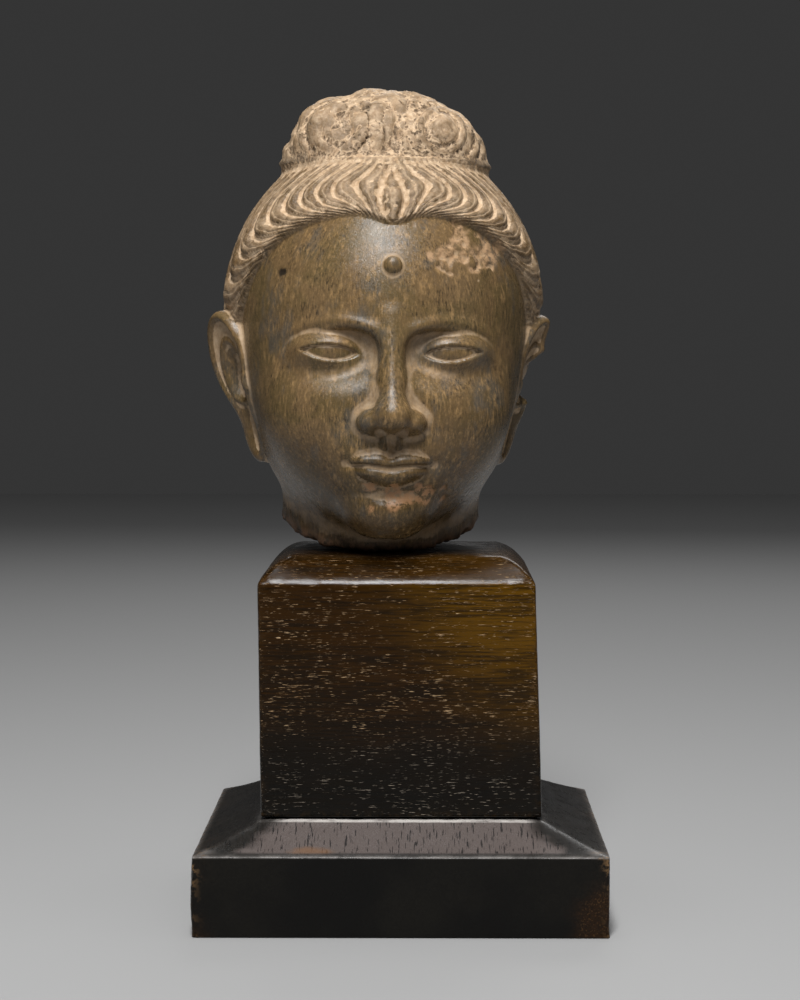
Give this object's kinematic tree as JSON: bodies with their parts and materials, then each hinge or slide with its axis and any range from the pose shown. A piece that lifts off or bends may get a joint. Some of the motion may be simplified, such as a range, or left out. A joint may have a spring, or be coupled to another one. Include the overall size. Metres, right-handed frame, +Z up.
{
  "type": "stone buddha head on wooden stand",
  "caption": "Carved stone buddha head with wavy hair, a topknot and long ears, broken at the neck and resting on a bevelled block stand of dark-stained wood.",
  "frame": {"origin": "centre of the stand's underside", "axes": "+Z up, -Y towards the front, where the face looks, +X to the right as seen from the front"},
  "size_m": [0.2039, 0.203, 0.4209],
  "materials": {
    "head_stone": "hand-carved grey-brown stone, worn smooth on the face, dusty in the grooves",
    "block_wood": "open-pored hardwood, dark brown stain, satin",
    "base_wood": "open-pored hardwood, near-black stain, satin, worn at the corners"
  },
  "bodies": {
    "root": {"buddha_head": "head_stone", "stand_block": "block_wood", "stand_base": "base_wood"}
  },
  "joints": []
}
